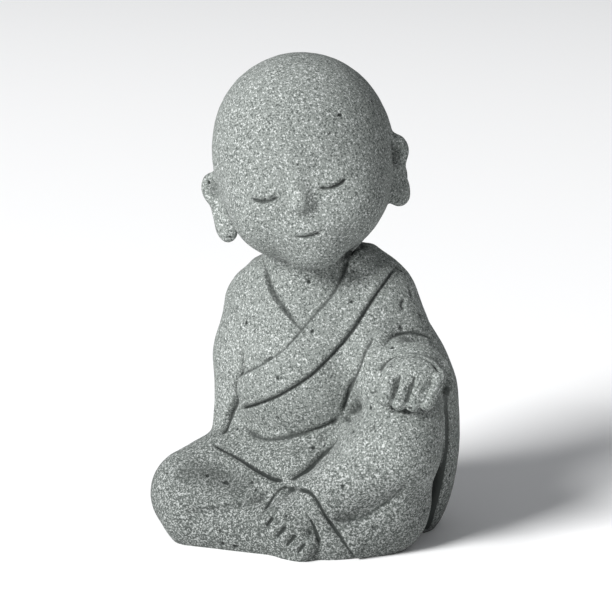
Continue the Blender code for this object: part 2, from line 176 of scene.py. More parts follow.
# %% [markdown]
# ## Clay masses
#
# A round, soft figure is easier to describe by masses than by faces. Each mass knows two things:
# how far any point is from its surface, and the rough ball of clay that starts it off. Distances
# can be blended: where two masses meet, a small bridge of clay fills the corner. That is what makes
# a cheek run into a jaw, and a small blend leaves a crease, as between two toes.

# %% A ball
class Ball:
    """An egg-shaped mass with three radii, blended into what is there or scooped out of it."""

    def __init__(self, centre, radii, turn=(0, 0, 0), blend=0.03, frame=None, hollow=False):
        self.hollow = hollow
        self.centre = vec(*centre)
        self.radii = vec(*radii)
        self.axes = turn_matrix(turn)
        self.blend = blend
        if frame is not None:
            origin, axes = frame
            self.centre = origin + axes @ self.centre
            self.axes = axes @ self.axes

    def distance(self, points):
        local = (points - self.centre) @ self.axes
        reach = np.linalg.norm(local / self.radii, axis=1)
        slope = np.linalg.norm(local / self.radii ** 2, axis=1)
        return reach * (reach - 1) / np.maximum(slope, 1e-9)

    def add_to(self, clay):
        size = Matrix.Diagonal((*(self.radii * SPAN), 1))
        turn = Matrix(self.axes.tolist()).to_4x4()
        place = Matrix.Translation(self.centre * SPAN) @ turn @ size
        bmesh.ops.create_icosphere(clay, subdivisions=3, radius=1, matrix=place)


# %% A limb
class Limb:
    """A tapered round mass between two points, added or scooped out in the same way."""

    def __init__(self, start, end, start_radius, end_radius, blend=0.03, frame=None, hollow=False):
        self.hollow = hollow
        self.start = vec(*start)
        self.end = vec(*end)
        self.radii = (start_radius, end_radius)
        self.blend = blend
        if frame is not None:
            origin, axes = frame
            self.start = origin + axes @ self.start
            self.end = origin + axes @ self.end

    def distance(self, points):
        along = self.end - self.start
        share = np.clip((points - self.start) @ along / (along @ along), 0, 1)
        radius = self.radii[0] + share * (self.radii[1] - self.radii[0])
        return np.linalg.norm(points - self.start - share[:, None] * along, axis=1) - radius

    def add_to(self, clay):
        for share in np.linspace(0, 1, 9):
            centre = self.start + share * (self.end - self.start)
            radius = self.radii[0] + share * (self.radii[1] - self.radii[0])
            place = Matrix.Translation(centre * SPAN)
            bmesh.ops.create_icosphere(clay, subdivisions=2, radius=radius * SPAN, matrix=place)


# %% Blending
def smooth_union(first, second, blend):
    near = np.maximum(blend - np.abs(first - second), 0) / blend
    return np.minimum(first, second) - near * near * blend / 4


def clay_depth(masses, points):
    """How far each point lies outside the fused masses (negative inside)."""
    depth = masses[0].distance(points)
    for mass in masses[1:]:
        if mass.hollow:
            depth = -smooth_union(-depth, mass.distance(points), mass.blend)
        else:
            depth = smooth_union(depth, mass.distance(points), mass.blend)
    return depth


class Group:
    """Masses fused with each other first, then blended as one into what is already there."""

    hollow = False

    def __init__(self, masses, blend):
        self.masses = masses
        self.blend = blend

    def distance(self, points):
        return clay_depth(self.masses, points)

    def add_to(self, clay):
        for mass in self.masses:
            if not mass.hollow:
                mass.add_to(clay)


# %% [markdown]
# ## The head
#
# The skull is a big ball and a smaller, wider one below it for the cheeks and jaw. It has its own
# frame, so that the nod, the lean and the turn are three numbers. The long ears are flat plates
# turned back from the head, each with a rolled rim, a hollow inside it and a heavy lobe.

# %% Skull and ears
HEAD_FRAME = (vec(*HEAD_CENTRE), turn_matrix(HEAD_TURN))


def skull():
    masses = [
        Ball((0.001, 0.012, 0.030), (0.181, 0.186, 0.182), blend=0.012, frame=HEAD_FRAME),
        Ball((0, -0.004, -0.047), (0.168, 0.165, 0.167), blend=0.06, frame=HEAD_FRAME),
        Ball((0, -0.078, -0.124), (0.105, 0.072, 0.064), blend=0.05, frame=HEAD_FRAME),
    ]
    for side in (-1, 1):
        masses.append(Ball((side * 0.075, -0.092, -0.100), (0.066, 0.062, 0.062), blend=0.06, frame=HEAD_FRAME))
    return masses


def ears():
    masses = []
    for side in (-1, 1):
        turn = (0, 0, side * EAR_FLARE)
        root = 0.177 if side > 0 else 0.189
        masses += [
            Ball((side * (root + 0.007), 0.006, -0.026), (0.033, 0.015, 0.034), turn, 0.012, HEAD_FRAME),
            Ball((side * root, 0.004, -0.072), (0.026, 0.013, 0.045), turn, 0.012, HEAD_FRAME),
            Ball((side * (root - 0.003), 0.004, -0.110), (0.027, 0.016, 0.030), turn, 0.012, HEAD_FRAME),
            Ball((side * (root + 0.008), -0.012, -0.032), (0.015, 0.012, 0.025), turn, 0.008, HEAD_FRAME, True),
        ]
    return masses


print("skull masses", len(skull()), "ear masses", len(ears()))

# %% [markdown]
# ## The face
#
# The face is a calm one of the carver's own, laid out by the usual rule for a small child's head:
# brows half way up, then the eyes, the base of the nose and the mouth at quarters of the way down
# to the chin, with the eyes one eye's width apart. The lids are closed. Only soft masses are set
# here; the lines of the lids and lips are carved later.

# %% Face masses
def face_levels(*quarters):
    return [-FACE_DROP * quarter for quarter in quarters]


def face():
    eye_level, nose_level, mouth_level, chin_level = face_levels(1, 2, 2.9, 3.7)
    masses = [
        Limb((0, -0.160, -0.25 * FACE_DROP), (0, -0.179, nose_level + 0.014), 0.010, 0.018, 0.02, HEAD_FRAME),
        Ball((0, -0.128, mouth_level + 0.008), (0.050, 0.036, 0.036), blend=0.04, frame=HEAD_FRAME),
        Ball((0, -0.155, mouth_level + 0.009), (0.027, 0.015, 0.0085), blend=0.006, frame=HEAD_FRAME),
        Ball((0, -0.151, mouth_level - 0.010), (0.022, 0.015, 0.0095), blend=0.006, frame=HEAD_FRAME),
        Ball((0, -0.106, chin_level), (0.046, 0.034, 0.028), blend=0.045, frame=HEAD_FRAME),
    ]
    for side in (-1, 1):
        masses += [
            Ball((side * 0.017, -0.169, nose_level + 0.009), (0.012, 0.015, 0.010), blend=0.006, frame=HEAD_FRAME),
            Ball((side * EYE_SPREAD, -0.137, eye_level), (0.040, 0.030, 0.025), blend=0.010, frame=HEAD_FRAME),
        ]
    return masses


print("face masses", len(face()))

# %% [markdown]
# ## The body and its sleeves
#
# Under a loose robe a seated child is a pear: narrow at the shoulders, wide at the hips. The right
# sleeve hangs straight down, so it is two limbs. The left sleeve reaches forward to the knee, and
# its wide back panel falls to the ground behind the leg. A ring of short limbs makes the roll of
# the collar where it passes round the back of the neck.

# %% Torso and collar
def torso():
    return [
        Ball((0.012, 0.000, 0.400), (0.185, 0.118, 0.180), blend=0.05),
        Limb((-0.070, 0.0, 0.487), (0.104, 0.005, 0.505), 0.076, 0.088, blend=0.05),
        Ball((0.005, -0.025, 0.33), (0.150, 0.135, 0.160), blend=0.06),
        Ball((0.015, 0.050, 0.20), (0.215, 0.150, 0.29), blend=0.06),
        Ball((-0.070, 0.040, 0.085), (0.170, 0.150, 0.115), blend=0.05),
        Ball((-0.01, -0.065, 0.115), (0.20, 0.145, 0.105), blend=0.03),
        Limb((0.0, -0.015, 0.52), (-0.008, -0.03, 0.64), 0.098, 0.090, blend=0.02),
    ]


def roll(centre, across, up, thickness, start, end, pieces):
    """Short limbs round part of an oval, from one angle to another."""
    points = []
    for angle in np.radians(np.linspace(start, end, pieces + 1)):
        points.append(vec(*centre) + math.cos(angle) * vec(*across) + math.sin(angle) * vec(*up))
    return [Limb(a, b, thickness, thickness, blend=0.001) for a, b in zip(points, points[1:])]


def collar_back():
    return roll((0.004, -0.012, 0.558), (0.112, 0, 0.016), (0, 0.112, 0), 0.022, -20, 200, 11)


def left_cuff():
    return roll((0.243, -0.150, 0.350), (0.070, 0.014, 0), (-0.006, 0.031, 0.064), 0.012, -10, 190, 10)


print("torso masses", len(torso()), "collar pieces", len(collar_back()))


# %% Sleeves
def right_arm():
    return [
        Limb(SHOULDER_RIGHT, (-0.146, 0.005, 0.36), 0.067, 0.054, blend=0.05),
        Limb((-0.146, 0.005, 0.36), (-0.159, -0.005, 0.21), 0.054, 0.052, blend=0.05),
    ]


def left_arm():
    return [
        Limb(SHOULDER_LEFT, ELBOW_LEFT, 0.074, 0.072, blend=0.03),
        Limb(ELBOW_LEFT, WRIST_LEFT, 0.070, 0.060, blend=0.02),
        Limb((0.120, -0.05, 0.42), (0.205, -0.130, 0.320), 0.060, 0.072, blend=0.03),
        Ball((0.220, 0.022, 0.20), (0.085, 0.126, 0.222), blend=0.03),
    ]


print("sleeve masses", len(right_arm()) + len(left_arm()))

# %% [markdown]
# ## Hand, legs and foot
#
# The hand is the back of a palm and four plump fingers over the knee, side by side, so a loop makes
# them. The folded leg is a thigh and a shin lying on the ground. The raised leg is a thigh, a shin
# and the cloth that hangs round them. The foot shows its instep and five toes in a slanting row,
# and below them the edge of the sole runs down to the ground.

# %% Hand
def left_hand():
    masses = [Ball((0.250, -0.180, 0.376), (0.060, 0.048, 0.040), blend=0.012)]
    for finger in range(4):
        knuckle = vec(0.212 + 0.030 * finger, -0.205 + 0.004 * finger, 0.387 - 0.003 * (finger - 1.2) ** 2)
        tip = knuckle + vec(-0.006 - 0.003 * finger, -0.033, -0.062 + 0.011 * abs(finger - 1.5))
        masses.append(Limb(knuckle, tip, 0.0178, 0.0158, blend=0.004))
    return masses


print("hand masses", len(left_hand()))


# %% Legs
def right_leg():
    return [
        Limb((-0.07, 0.02, HIP_HEIGHT), KNEE_RIGHT, 0.116, 0.095, blend=0.03),
        Limb((-0.198, -0.168, 0.056), (-0.02, -0.192, 0.044), 0.080, 0.070, blend=0.015),
    ]


def left_leg():
    return [
        Limb((0.08, 0.0, HIP_HEIGHT), KNEE_LEFT, 0.115, 0.086, blend=0.03),
        Limb(KNEE_LEFT, ANKLE_LEFT, 0.085, 0.062, blend=0.02),
        Limb((0.224, -0.146, 0.270), (0.182, -0.135, 0.125), 0.083, 0.095, blend=0.02),
        Ball((0.165, -0.132, 0.086), (0.110, 0.094, 0.108), blend=0.02),
        Ball((0.130, -0.145, 0.052), (0.100, 0.103, 0.080), blend=0.02),
        Limb((0.10, -0.185, 0.05), (0.08, -0.20, 0.03), 0.055, 0.060, blend=0.03),
    ]


print("leg masses", len(right_leg()) + len(left_leg()))


# %% Foot
def left_foot():
    masses = [
        Limb((0.062, -0.200, 0.088), (0.004, -0.215, 0.060), 0.052, 0.057, blend=0.012),
        Limb((-0.007, -0.221, 0.038), (0.035, -0.231, 0.010), 0.047, 0.044, blend=0.015),
    ]
    big_toe, little_toe = vec(-0.033, -0.256, 0.072), vec(0.045, -0.270, 0.019)
    for toe in range(5):
        tip = big_toe + toe / 4 * (little_toe - big_toe)
        masses.append(Limb(tip + vec(0.014, 0.010, 0.016), tip, 0.0165, 0.0165, blend=0.009))
    return masses


print("foot masses", len(left_foot()))

# %% [markdown]
# ## Fusing and pressing
#
# The balls of clay overlap, and a voxel remesh turns them into one closed skin. A remesh alone
# looks stepped, so each vertex is then pressed onto the blended surface: it moves along the slope
# of the distance until the distance is nought. Doing this on a coarse skin first and then on a
# fine one takes seconds, where a fine remesh alone would start too far from the real surface.

# %% Pressing
COARSE_GRAIN = 0.0016
FINE_GRAIN = 0.0006


def pressed(masses, points, rounds):
    step = 2e-4
    for _ in range(rounds):
        depth = clay_depth(masses, points)
        ahead = [clay_depth(masses, points + shift) for shift in np.eye(3) * step]
        slope = (np.stack(ahead, axis=1) - depth[:, None]) / step
        steepness = np.maximum((slope * slope).sum(axis=1), 0.2)
        points = points - (depth / steepness)[:, None] * slope
    return points


def vertex_places(mesh):
    flat = np.empty(len(mesh.vertices) * 3, np.float32)
    mesh.vertices.foreach_get("co", flat)
    return flat.reshape(-1, 3).astype(float)


def vertex_normals(mesh):
    flat = np.empty(len(mesh.vertices) * 3, np.float32)
    mesh.vertices.foreach_get("normal", flat)
    return flat.reshape(-1, 3).astype(float)


def set_places(mesh, places):
    mesh.vertices.foreach_set("co", places.astype(np.float32).ravel())
    mesh.update()


# %% One modifier at a time
def with_modifier(mesh, kind, **settings):
    """The mesh after one modifier with these settings."""
    holder = bpy.data.objects.new("holder", mesh)
    bpy.context.scene.collection.objects.link(holder)
    modifier = holder.modifiers.new("step", kind)
    for name, value in settings.items():
        setattr(modifier, name, value)
    bpy.context.view_layer.update()
    result = bpy.data.meshes.new_from_object(holder.evaluated_get(bpy.context.evaluated_depsgraph_get()))
    bpy.data.objects.remove(holder)
    return result


def fused_clay(masses, fine_grain):
    clay = bmesh.new()
    for mass in masses:
        mass.add_to(clay)
    mesh = bpy.data.meshes.new("clay")
    clay.to_mesh(mesh)
    clay.free()
    for grain, rounds in ((COARSE_GRAIN, 3), (fine_grain, 2)):
        mesh = with_modifier(mesh, "REMESH", mode="VOXEL", voxel_size=grain)
        set_places(mesh, pressed(masses, vertex_places(mesh) / SPAN, rounds) * SPAN)
    return mesh


monk_masses = [
    Group(torso() + right_arm() + left_arm(), blend=0),
    Group(collar_back(), blend=0.016),
    Group(right_leg(), blend=0.020),
    Group(left_leg(), blend=0.012),
    Group(left_foot(), blend=0.008),
    Group(left_cuff(), blend=0.012),
    Group(left_hand(), blend=0.006),
    Group(skull() + ears() + face(), blend=0.012),
]
clay_mesh = fused_clay(monk_masses, FINE_GRAIN)
print("clay", len(clay_mesh.vertices), "vertices")

# %% [markdown]
# ## Drawing on the clay
#
# The robe's lines are easiest to place on the ruled board in front of the figure. Each line
# is a few points with a smooth curve through them, carried along the line of sight onto the clay.
# Two tools follow a line: a groove, cut with a round bottom, and an edge, where cloth is raised on
# one side and falls away over its reach. Flat boards serve the face, the left side and the back.

# %% Boards and curves
class FlatBoard:
    """A board before one side of the figure or of a part of it, in that part's own x and z."""

    def __init__(self, frame):
        self.origin, self.axes = frame

    def sight(self, across, height):
        return self.origin + self.axes @ vec(across, -1, height), self.axes @ vec(0, 1, 0)


FACE = FlatBoard(HEAD_FRAME)
LEFT_SIDE = FlatBoard((vec(0, 0, 0), turn_matrix((0, 0, 90))))
BACK = FlatBoard((vec(0, 0, 0), turn_matrix((0, 0, 180))))


def smooth_line(points, samples=6):
    """A smooth curve through the points (each stretch bends towards its neighbours)."""
    points = [vec(*p) for p in points]
    padded = [2 * points[0] - points[1]] + points + [2 * points[-1] - points[-2]]
    line = []
    for before, start, end, after in zip(padded, padded[1:], padded[2:], padded[3:]):
        for t in np.arange(samples) / samples:
            line.append(0.5 * (2 * start + (end - before) * t
                               + (2 * before - 5 * start + 4 * end - after) * t ** 2
                               + (3 * start - before - 3 * end + after) * t ** 3))
    line.append(points[-1])
    return np.array(line)


def smooth_step(share):
    share = np.clip(share, 0, 1)
    return share * share * (3 - 2 * share)


# %% The carving tools
# The dark lines that the tools lay along grooves, steps and bands are painted shade in the creases.
FULL_SHADE_DEPTH = 0.010    # grooves at least this deep are dark at the bottom
EDGE_SHADE = 0.35
EDGE_SHADE_WIDTH = 0.003


class Carving:
    """Drawn lines are carried onto the clay and cut or raised there."""

    def __init__(self, mesh):
        self.mesh = mesh
        self.places = vertex_places(mesh) / SPAN
        self.normals = vertex_normals(mesh)
        self.moves = np.zeros(len(self.places))
        self.soil = np.zeros(len(self.places))
        clay = bmesh.new()
        clay.from_mesh(mesh)
        self.tree = BVHTree.FromBMesh(clay)
        clay.free()

    def on_clay(self, points, drawn_on):
        line = []
        for point in smooth_line(points):
            eye, sight = drawn_on.sight(*point)
            hit, _, _, _ = self.tree.ray_cast(Vector(eye * SPAN), Vector(sight))
            if hit is not None:
                line.append(np.array(hit) / SPAN)
        return np.array(line)

    def measure(self, line, reach):
        """For the vertices near a line: their distance, side and share of the way along it."""
        low, high = line.min(axis=0) - reach, line.max(axis=0) + reach
        near = np.flatnonzero(((self.places > low) & (self.places < high)).all(axis=1))
        places, normals = self.places[near], self.normals[near]
        nearest = np.full(len(near), np.inf)
        side = np.zeros(len(near))
        share = np.zeros(len(near))
        for i, (start, end) in enumerate(zip(line, line[1:])):
            along = end - start
            t = np.clip((places - start) @ along / max(along @ along, 1e-12), 0, 1)
            offset = places - start - t[:, None] * along
            distance = np.linalg.norm(offset, axis=1)
            closer = distance < nearest
            across = np.cross(along, normals[closer])
            side[closer] = np.sign((offset[closer] * across).sum(axis=1))
            share[closer] = (i + t[closer]) / (len(line) - 1)
            nearest[closer] = distance[closer]
        return near, nearest, side, share

    def darken(self, near, amount):
        """Painted shade up to this amount, where there is not more of it already."""
        self.soil[near] = np.maximum(self.soil[near], amount)

    def groove(self, points, depth=0.008, width=0.006, fade=0.15, spread=0.6, drawn_on=FRONT):
        """A cut line with a round bottom, running out to nothing at both ends.

        Painted shade lies along its bottom, over this share of its width.
        """
        near, distance, _, share = self.measure(self.on_clay(points, drawn_on), width * 4)
        ends = smooth_step(np.minimum(share, 1 - share) / fade) if fade else 1
        self.moves[near] -= depth * np.exp(-(distance / width) ** 2) * ends
        self.darken(near, min(depth / FULL_SHADE_DEPTH, 1) * np.exp(-(distance / width / spread) ** 2) * ends)

    def edge(self, points, side, lift=0.009, reach=0.07, soft=0.005, fade=0.0, drawn_on=FRONT):
        """Cloth that is raised on one side of a line and falls away over its reach."""
        near, distance, hand, share = self.measure(self.on_clay(points, drawn_on), reach)
        signed = distance * hand * side
        ends = smooth_step(np.minimum(share, 1 - share) / fade) if fade else 1
        fall = np.cos(np.clip(distance / reach, 0, 1) * math.pi / 2) ** 2
        self.moves[near] += lift * smooth_step(signed / soft + 0.5) * fall * ends
        # painted shade along the step
        self.darken(near, EDGE_SHADE * np.exp(-(distance / EDGE_SHADE_WIDTH) ** 2) * ends)

    def stain(self, points, reach, amount, drawn_on=FRONT):
        """A soft band of painted shade along a line."""
        near, distance, _, _ = self.measure(self.on_clay(points, drawn_on), reach)
        self.darken(near, amount * (1 - smooth_step(distance / reach)))

    def apply(self):
        places = self.places + self.moves[:, None] * self.normals
        set_places(self.mesh, places * SPAN)


carving = Carving(clay_mesh)
print("board and tools ready")

# %% [markdown]
# ## The robe's lines
#
# The robe crosses left over right with a wide band, hangs in sleeves at both sides, and is drawn
# tight over the lap. On cast stone these are low, soft steps and creases, so each is one stroke.
# The sleeve of the raised arm has a fold and a cuff, and the trouser leg has a hem round the foot.

# %% Lines on the front board, in squares across and down
COLLAR_UNDER = [(263, 258), (268, 277), (274, 294), (287, 314), (306, 335)]
BAND_TOP = [(350, 264), (334, 295), (310, 323), (289, 347), (274, 359), (257, 369), (242, 376)]
BAND_BOTTOM = [(397, 264), (372, 299), (350, 333), (320, 366), (303, 380), (274, 397), (240, 409)]
SLEEVE_RIGHT = [(240, 344), (241, 368), (237, 385), (235, 402), (226, 423), (222, 436)]
SLEEVE_LEFT = [(378, 330), (365, 350), (359, 365), (351, 385), (347, 402), (342, 415)]
BELLY = [(342, 415), (329, 425), (304, 434), (277, 438), (258, 436), (240, 424)]
LAP_RIGHT = [(209, 442), (230, 452), (251, 467), (270, 478), (287, 483)]
CALF_RIGHT = [(182, 503), (199, 508), (218, 506), (241, 501), (258, 495), (275, 484)]
LAP_LEFT = [(287, 483), (306, 470), (323, 453), (340, 435)]
SLEEVE_FOLD = [(381, 350), (391, 339), (401, 335), (413, 334), (427, 337), (436, 342)]
SHIN_FOLD = [(329, 518), (342, 521), (361, 518), (378, 509), (397, 495), (409, 480)]
HEM_OUTER = [(296, 488), (304, 490), (311, 493), (318, 501), (325, 514), (333, 525), (340, 535), (352, 551)]
TOE_CREASES = [[(273, 517), (265, 528)], [(286, 526), (275, 539)], [(296, 534), (285, 547)],
               [(305, 543), (296, 554)]]
FINGER_CREASES = [[(400, 373), (397, 387), (393, 400)], [(416, 374), (411, 390), (406, 406)],
                  [(432, 378), (427, 392), (421, 405)]]
FOOT_LINES = [[(289, 486), (279, 490), (270, 499), (263, 510)], [(309, 518), (315, 530), (321, 545)]]
# Painted shade is laid along the next two lines: in the hollow between the right thigh and calf, and in the crease
# behind the raised knee.
THIGH_SHADE = [(185, 472), (215, 474), (245, 484)]
BEHIND_KNEE = [(447, 390), (446, 405), (447, 420), (447, 445), (441, 480), (434, 508), (428, 527)]
CUFF_LINE = [(378, 376), (384, 364), (393, 358), (403, 355), (413, 355), (425, 358), (435, 365), (443, 378)]
CHIPS = [[(394, 264), (398, 268)], [(411, 291), (412, 295)], [(404, 301), (402, 305), (404, 309)],
         [(420, 314), (422, 317)], [(401, 327), (403, 328)], [(372, 393), (376, 391)],
         [(347, 419), (351, 420)], [(373, 425), (374, 428)], [(265, 360), (271, 358)]]

# %% Lines on the flat boards, in shares of SPAN
LEG_BACK = [(-0.095, 0.30), (-0.080, 0.26), (-0.071, 0.20), (-0.068, 0.15), (-0.066, 0.10),
            (-0.063, 0.05), (-0.061, 0.01)]
BACK_FOLDS = [
    [(-0.09, 0.50), (-0.11, 0.40), (-0.13, 0.26), (-0.15, 0.10)],
    [(-0.02, 0.50), (-0.05, 0.38), (-0.08, 0.22), (-0.08, 0.06)],
    [(0.07, 0.48), (0.06, 0.34), (0.03, 0.20), (0.04, 0.05)],
    [(0.13, 0.44), (0.13, 0.30), (0.12, 0.18), (0.14, 0.06)],
]


# %% Carving the robe
def carve_robe(carving):
    band = 0.070
    carving.edge(COLLAR_UNDER, side=1, lift=0.010, reach=0.05, soft=0.004, fade=0.3)
    carving.edge(BAND_TOP, side=-1, lift=0.010, reach=band, soft=0.004)
    carving.edge(BAND_BOTTOM, side=1, lift=0.009, reach=band, soft=0.004, fade=0.04)
    carving.groove(BAND_BOTTOM, depth=0.005, width=0.004, fade=0.04)
    carving.groove(SLEEVE_RIGHT, depth=0.014, width=0.007)
    carving.groove(SLEEVE_LEFT, depth=0.008, width=0.005)
    carving.groove(BELLY, depth=0.006, width=0.006)
    carving.groove(LAP_RIGHT, depth=0.008)
    carving.groove(LAP_LEFT, depth=0.008)
    carving.edge(LAP_RIGHT, side=-1, lift=-0.010, reach=0.08, fade=0.2)
    carving.edge(CALF_RIGHT, side=1, lift=-0.010, reach=0.06, soft=0.016, fade=0.2)
    carving.edge(SLEEVE_FOLD, side=1, lift=0.007, reach=0.05, fade=0.25)
    carving.groove(SLEEVE_FOLD, depth=0.005)
    carving.groove(SHIN_FOLD, depth=0.005, width=0.014, spread=0.25)
    carving.edge(HEM_OUTER, side=-1, lift=0.009, reach=0.05)
    carving.groove(HEM_OUTER, depth=0.006)
    for crease in TOE_CREASES:
        carving.groove(crease, depth=0.006, width=0.004, fade=0.1)
    for crease in FINGER_CREASES + FOOT_LINES:
        carving.groove(crease, depth=0.005, width=0.003, spread=0.9)
    carving.groove(LEG_BACK, depth=0.024, width=0.009, fade=0.1, spread=2.0, drawn_on=LEFT_SIDE)
    # Painted shade: in the hollow of the lap, in the crease behind the raised knee and under the collar's edge.
    carving.stain(THIGH_SHADE, reach=0.065, amount=0.35)
    carving.stain(BEHIND_KNEE, reach=0.013, amount=1.0)
    carving.stain(COLLAR_UNDER, reach=0.006, amount=0.5)
    carving.groove(CUFF_LINE, depth=0.006, width=0.004, fade=0.1, spread=0.9)
    for chip in CHIPS:
        carving.groove(chip, depth=0.005, width=0.004, fade=0, spread=0.9)
    for fold in BACK_FOLDS:
        carving.groove(fold, depth=0.008, width=0.014, fade=0.4, drawn_on=BACK)


carve_robe(carving)
print("robe: deepest cut", round(-1000 * SPAN * carving.moves.min(), 2), "mm")

# %% [markdown]
# ## The face's lines
#
# Closed lids are one curved line each, where the upper lid meets the lower, and a faint brow above
# it. The mouth is a short line between the lips. They are drawn on the face's own board, so they
# lean with the head.

# %% Carving the face
def bowed(side, middle, level, half, sag, lift=0.0):
    """Five points of a line that sags in its middle and lifts at its outer end."""
    return [(side * (middle + share * half), level - sag * (1 - share ** 2) + lift * share)
            for share in (-1, -0.5, 0, 0.5, 1)]


def carve_face(carving):
    eye_level, mouth_level = face_levels(1.2, 2.9)
    half = EYE_WIDTH / 2
    for side in (-1, 1):
        lid = bowed(side, EYE_SPREAD, eye_level, half, 0.010, 0.004)
        carving.groove(lid, depth=0.010, width=0.0040, fade=0.2, drawn_on=FACE)
        brow = bowed(side, EYE_SPREAD, 0.002, half * 1.25, -0.012)
        carving.groove(brow, depth=-0.002, width=0.008, fade=0.4, drawn_on=FACE)
    mouth = bowed(1, 0, mouth_level, 0.033, 0.006)
    carving.groove(mouth, depth=0.007, width=0.0035, fade=0.25, drawn_on=FACE)


carve_face(carving)
carving.apply()
print("carved", int((carving.moves < -0.001).sum()), "vertices inwards")

# %% [markdown]
# ## Pits and grain
#
# Cast stone is sand and cement: bubbles leave small round pits, more of them low on the legs where
# the mix was drier, and the skin is never quite even. Both are real shape, so they are pressed into
# the mesh. The pits are places in a field of random cells, so they stay put however the mesh is
# made, and how deep each vertex sits is kept as an attribute, from which the pits get painted shade.

# %% Pits and unevenness
PIT_CELL = 0.0040          # metres between possible pits
PIT_DEPTH = 0.00055
WAVE_LENGTHS = ((0.0080, 0.00009), (0.0026, 0.00007))   # length and height of the unevenness


def pit_depth(place):
    """How deep the surface is pitted at one place, in metres."""
    jagged = place + 0.0004 * noise.noise_vector(place / 0.0012)
    distances, cores = noise.voronoi(jagged / PIT_CELL)
    draw = noise.cell(cores[0] * 37.0)
    low_down = 1 - min(max((place.z / SPAN - 0.20) / 0.40, 0), 1)
    if draw > 0.06 + 0.44 * low_down:
        return 0.0
    radius = 0.09 + 0.17 * noise.cell(cores[0] * 91.0)
    return PIT_DEPTH * max(0.0, 1 - (distances[0] / radius) ** 2)


def unevenness(place):
    return sum(height * noise.noise(place / length) for length, height in WAVE_LENGTHS)


def weather(mesh):
    places = vertex_places(mesh)
    normals = vertex_normals(mesh)
    spots = [Vector(place) for place in places]
    pits = np.array([pit_depth(spot) for spot in spots])
    swell = np.array([unevenness(spot) for spot in spots])
    set_places(mesh, places + (swell - pits)[:, None] * normals)
    return pits


pits = weather(clay_mesh)
print("pitted vertices", int((pits > 0).sum()), "of", len(pits))

# %% [markdown]
# ## Painted shade in hollows
#
# Creases and pits are painted darker, as shade that falls in them. How hollow a place is can be
# measured: smooth the mesh a little and see on which side of the smooth surface each vertex lies.
# The measure goes into an attribute for the shader.

# %% Measuring hollows
HOLLOW_SCALE = 0.0006


def hollowness(mesh, rounds=6):
    """-1 on sharp ridges to 1 in deep creases, from a smoothed copy of the skin."""
    clay = bmesh.new()
    clay.from_mesh(mesh)
    for _ in range(rounds):
        bmesh.ops.smooth_vert(clay, verts=clay.verts, factor=0.5, use_axis_x=True, use_axis_y=True,
                              use_axis_z=True)
    smooth = np.array([vertex.co[:] for vertex in clay.verts])
    clay.free()
    inward = ((smooth - vertex_places(mesh)) * vertex_normals(mesh)).sum(axis=1)
    return np.clip(inward / HOLLOW_SCALE, -1, 1)


hollows = hollowness(clay_mesh, rounds=12)
print("hollows from", round(hollows.min(), 2), "to", round(hollows.max(), 2))

# %% [markdown]
# ## Thinning, cutting flat and fitting
#
# The skin has far more triangles than the plain parts of it need, so it is thinned. The underside
# is cut off flat at the ground and closed, as the casting's is. Last, the piece is drawn in by a
# hair where it would stand out of the solid that it replaces.

# %% Thinning and cutting
TRIANGLES = 190000
CUT_SNAP = 0.00005


def cut_flat(mesh):
    clay = bmesh.new()
    clay.from_mesh(mesh)
    parts = clay.verts[:] + clay.edges[:] + clay.faces[:]
    bmesh.ops.bisect_plane(clay, geom=parts, dist=CUT_SNAP, plane_co=(0, 0, 0), plane_no=(0, 0, 1),
                           clear_inner=True)
    rim = [edge for edge in clay.edges if edge.is_boundary]
    for edge in rim:
        for vertex in edge.verts:
            vertex.co.z = 0
    underside = bmesh.ops.holes_fill(clay, edges=rim)["faces"]
    bmesh.ops.triangulate(clay, faces=underside)
    clay.to_mesh(mesh)
    clay.free()


monk_mesh = with_modifier(clay_mesh, "TRIANGULATE")
monk_mesh = with_modifier(monk_mesh, "DECIMATE", ratio=min(1.0, TRIANGLES / len(monk_mesh.polygons)))
cut_flat(monk_mesh)
print("triangles", len(monk_mesh.polygons))

# %% Fitting inside the solid's box
ROOM = 0.00003             # metres kept free inside the box


def fit_in(mesh, low, high):
    places = vertex_places(mesh)
    for axis in range(3):
        own_low, own_high = places[:, axis].min(), places[:, axis].max()
        floor = low[axis] if axis == 2 else max(own_low, low[axis] + ROOM)
        ceiling = min(own_high, high[axis] - ROOM)
        share = (places[:, axis] - own_low) / (own_high - own_low)
        places[:, axis] = floor + share * (ceiling - floor)
        print("xyz"[axis], "drawn in by", round(1000 * (own_high - own_low - ceiling + floor), 2), "mm")
    set_places(mesh, places)


fit_in(monk_mesh, *cad_box)

# %% Carrying the measures to the thinned mesh
def carry(mesh, name, places, values):
    """Each vertex takes the value of the nearest of the given places."""
    tree = KDTree(len(places))
    for i, place in enumerate(places):
        tree.insert(place, i)
    tree.balance()
    carried = [values[tree.find(vertex.co)[1]] for vertex in mesh.vertices]
    layer = mesh.attributes.new(name, "FLOAT", "POINT")
    layer.data.foreach_set("value", np.array(carried, np.float32))


clay_places = vertex_places(clay_mesh)
# The hollow attribute carries painted shade: in creases, from the hollow measure, and along the carved lines.
carry(monk_mesh, "hollow", clay_places, np.maximum(hollows, carving.soil))
# The pit attribute gives the pits painted shade.
carry(monk_mesh, "pit", clay_places, pits / PIT_DEPTH)
print("attributes", [layer.name for layer in monk_mesh.attributes if layer.domain == "POINT"])

# %% [markdown]
# ## Shader sums
#
# A shader is a sum of patterns, and sums read best as sums. A Wire holds one socket and adds its
# Math nodes when it is used in an expression. Every other node comes from one method of the bench,
# which takes the node's type, its settings, and the values or wires of its sockets.

